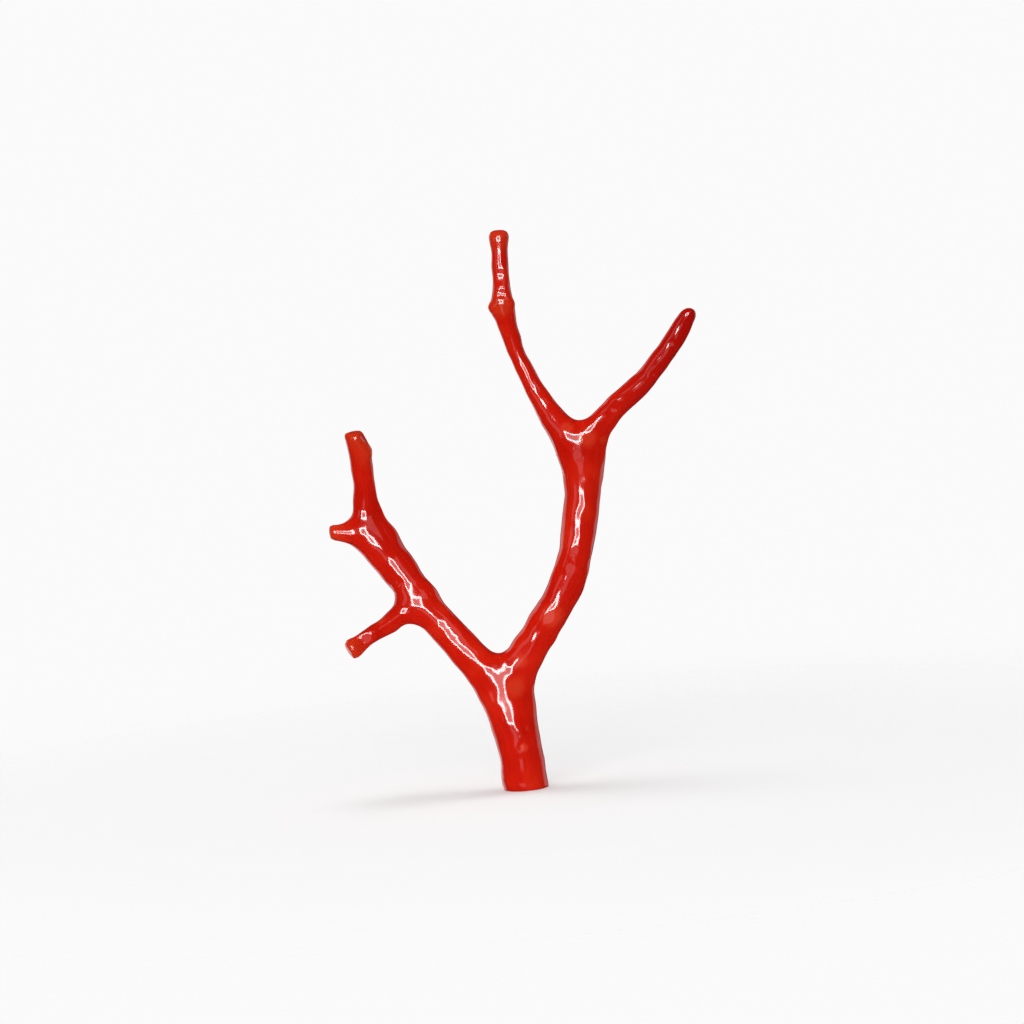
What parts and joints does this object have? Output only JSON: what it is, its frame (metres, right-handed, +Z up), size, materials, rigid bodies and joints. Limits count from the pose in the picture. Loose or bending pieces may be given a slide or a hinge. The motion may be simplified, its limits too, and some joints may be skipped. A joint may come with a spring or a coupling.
{
  "type": "red coral branch",
  "caption": "Polished red coral branch, sawn flat at its foot so that it stands, with a forked trunk, stems that fork again, one rounded tip and sawn ends.",
  "frame": {"origin": "middle of the flat sawn foot, on its face", "axes": "+Z up from the foot to the highest tip, +X to the right as the branch is seen from its front, +Y away from that viewer"},
  "size_m": [0.0766, 0.0175, 0.1116],
  "materials": {
    "coral": "polished"
  },
  "bodies": {
    "root": {"trunk": "coral", "left_stem": "coral", "lower_left_twig": "coral", "left_branch": "coral", "right_stem": "coral", "middle_branch": "coral", "right_branch": "coral"}
  },
  "joints": []
}
